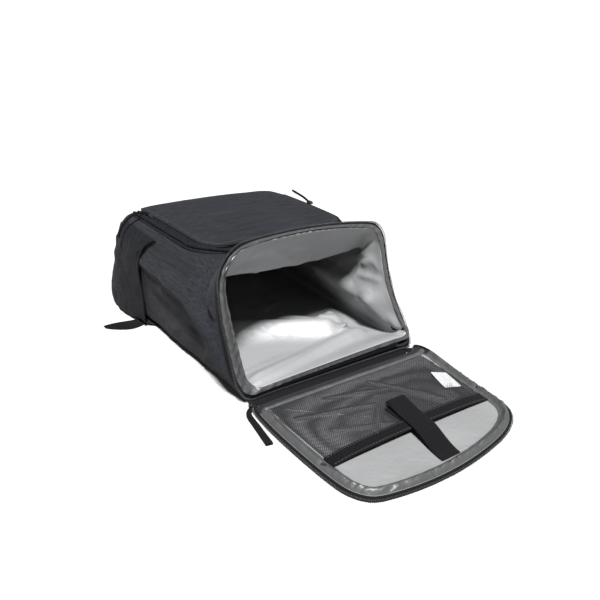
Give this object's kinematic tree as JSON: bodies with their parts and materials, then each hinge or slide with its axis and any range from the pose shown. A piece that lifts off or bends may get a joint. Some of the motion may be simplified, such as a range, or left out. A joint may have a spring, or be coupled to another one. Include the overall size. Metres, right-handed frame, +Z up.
{
  "type": "insulated backpack",
  "caption": "Soft insulated backpack lying on its straps with the zipped lid opened flat in front, showing a silver-lined cavity and a lid with a mesh pocket.",
  "frame": {"origin": "middle of the hinge line's length on the underside of the hinge band, on the surface that the bag lies on", "axes": "+Z up, +X along the hinge to the right, +Y from the hinge to the bag's base, so the opened lid lies towards -Y"},
  "size_m": [0.3958, 0.6951, 0.2173],
  "materials": {
    "outer_fabric": "matt heather polyester with a slub streak",
    "plain_fabric": "matt plain polyester",
    "silver_liner": "satin silver film",
    "zip_tape": "woven zip tape with a nylon coil",
    "webbing": "ribbed polyester webbing",
    "mesh": "fine knitted mesh",
    "pull_cord": "braided cord",
    "zip_metal": "semi-gloss dark metal",
    "buckle_plastic": "satin moulded plastic",
    "label": "smooth woven label, blank"
  },
  "bodies": {
    "root": {"shell": "outer_fabric", "liner": "silver_liner", "mouth_tape": "zip_tape", "mouth_hem": "silver_liner", "pocket_panel": "outer_fabric", "pocket_gusset": "plain_fabric", "pocket_zip": "zip_tape", "side_pocket_left": "plain_fabric", "side_pocket_right": "plain_fabric", "side_binding_left": "webbing", "side_binding_right": "webbing", "hinge_band": "zip_tape", "lid_panel": "outer_fabric", "lid_liner": "silver_liner", "lid_tape": "zip_tape", "lid_mesh": "mesh", "lid_mesh_hem": "webbing", "lid_strap": "webbing", "loop_patch": "webbing", "care_label": "label", "pocket_slider_left": "zip_metal", "pocket_slider_right": "zip_metal", "mouth_slider": "zip_metal", "zip_end_left": "zip_tape", "pocket_pull_left": "pull_cord", "pocket_pull_right": "pull_cord", "mouth_pull": "webbing", "hinge_tab": "webbing", "shoulder_strap_left": "outer_fabric", "shoulder_strap_right": "outer_fabric", "strap_buckle_left": "buckle_plastic", "strap_buckle_right": "buckle_plastic", "strap_webbing_left": "webbing", "strap_webbing_right": "webbing", "strap_tail": "webbing"}
  },
  "joints": []
}
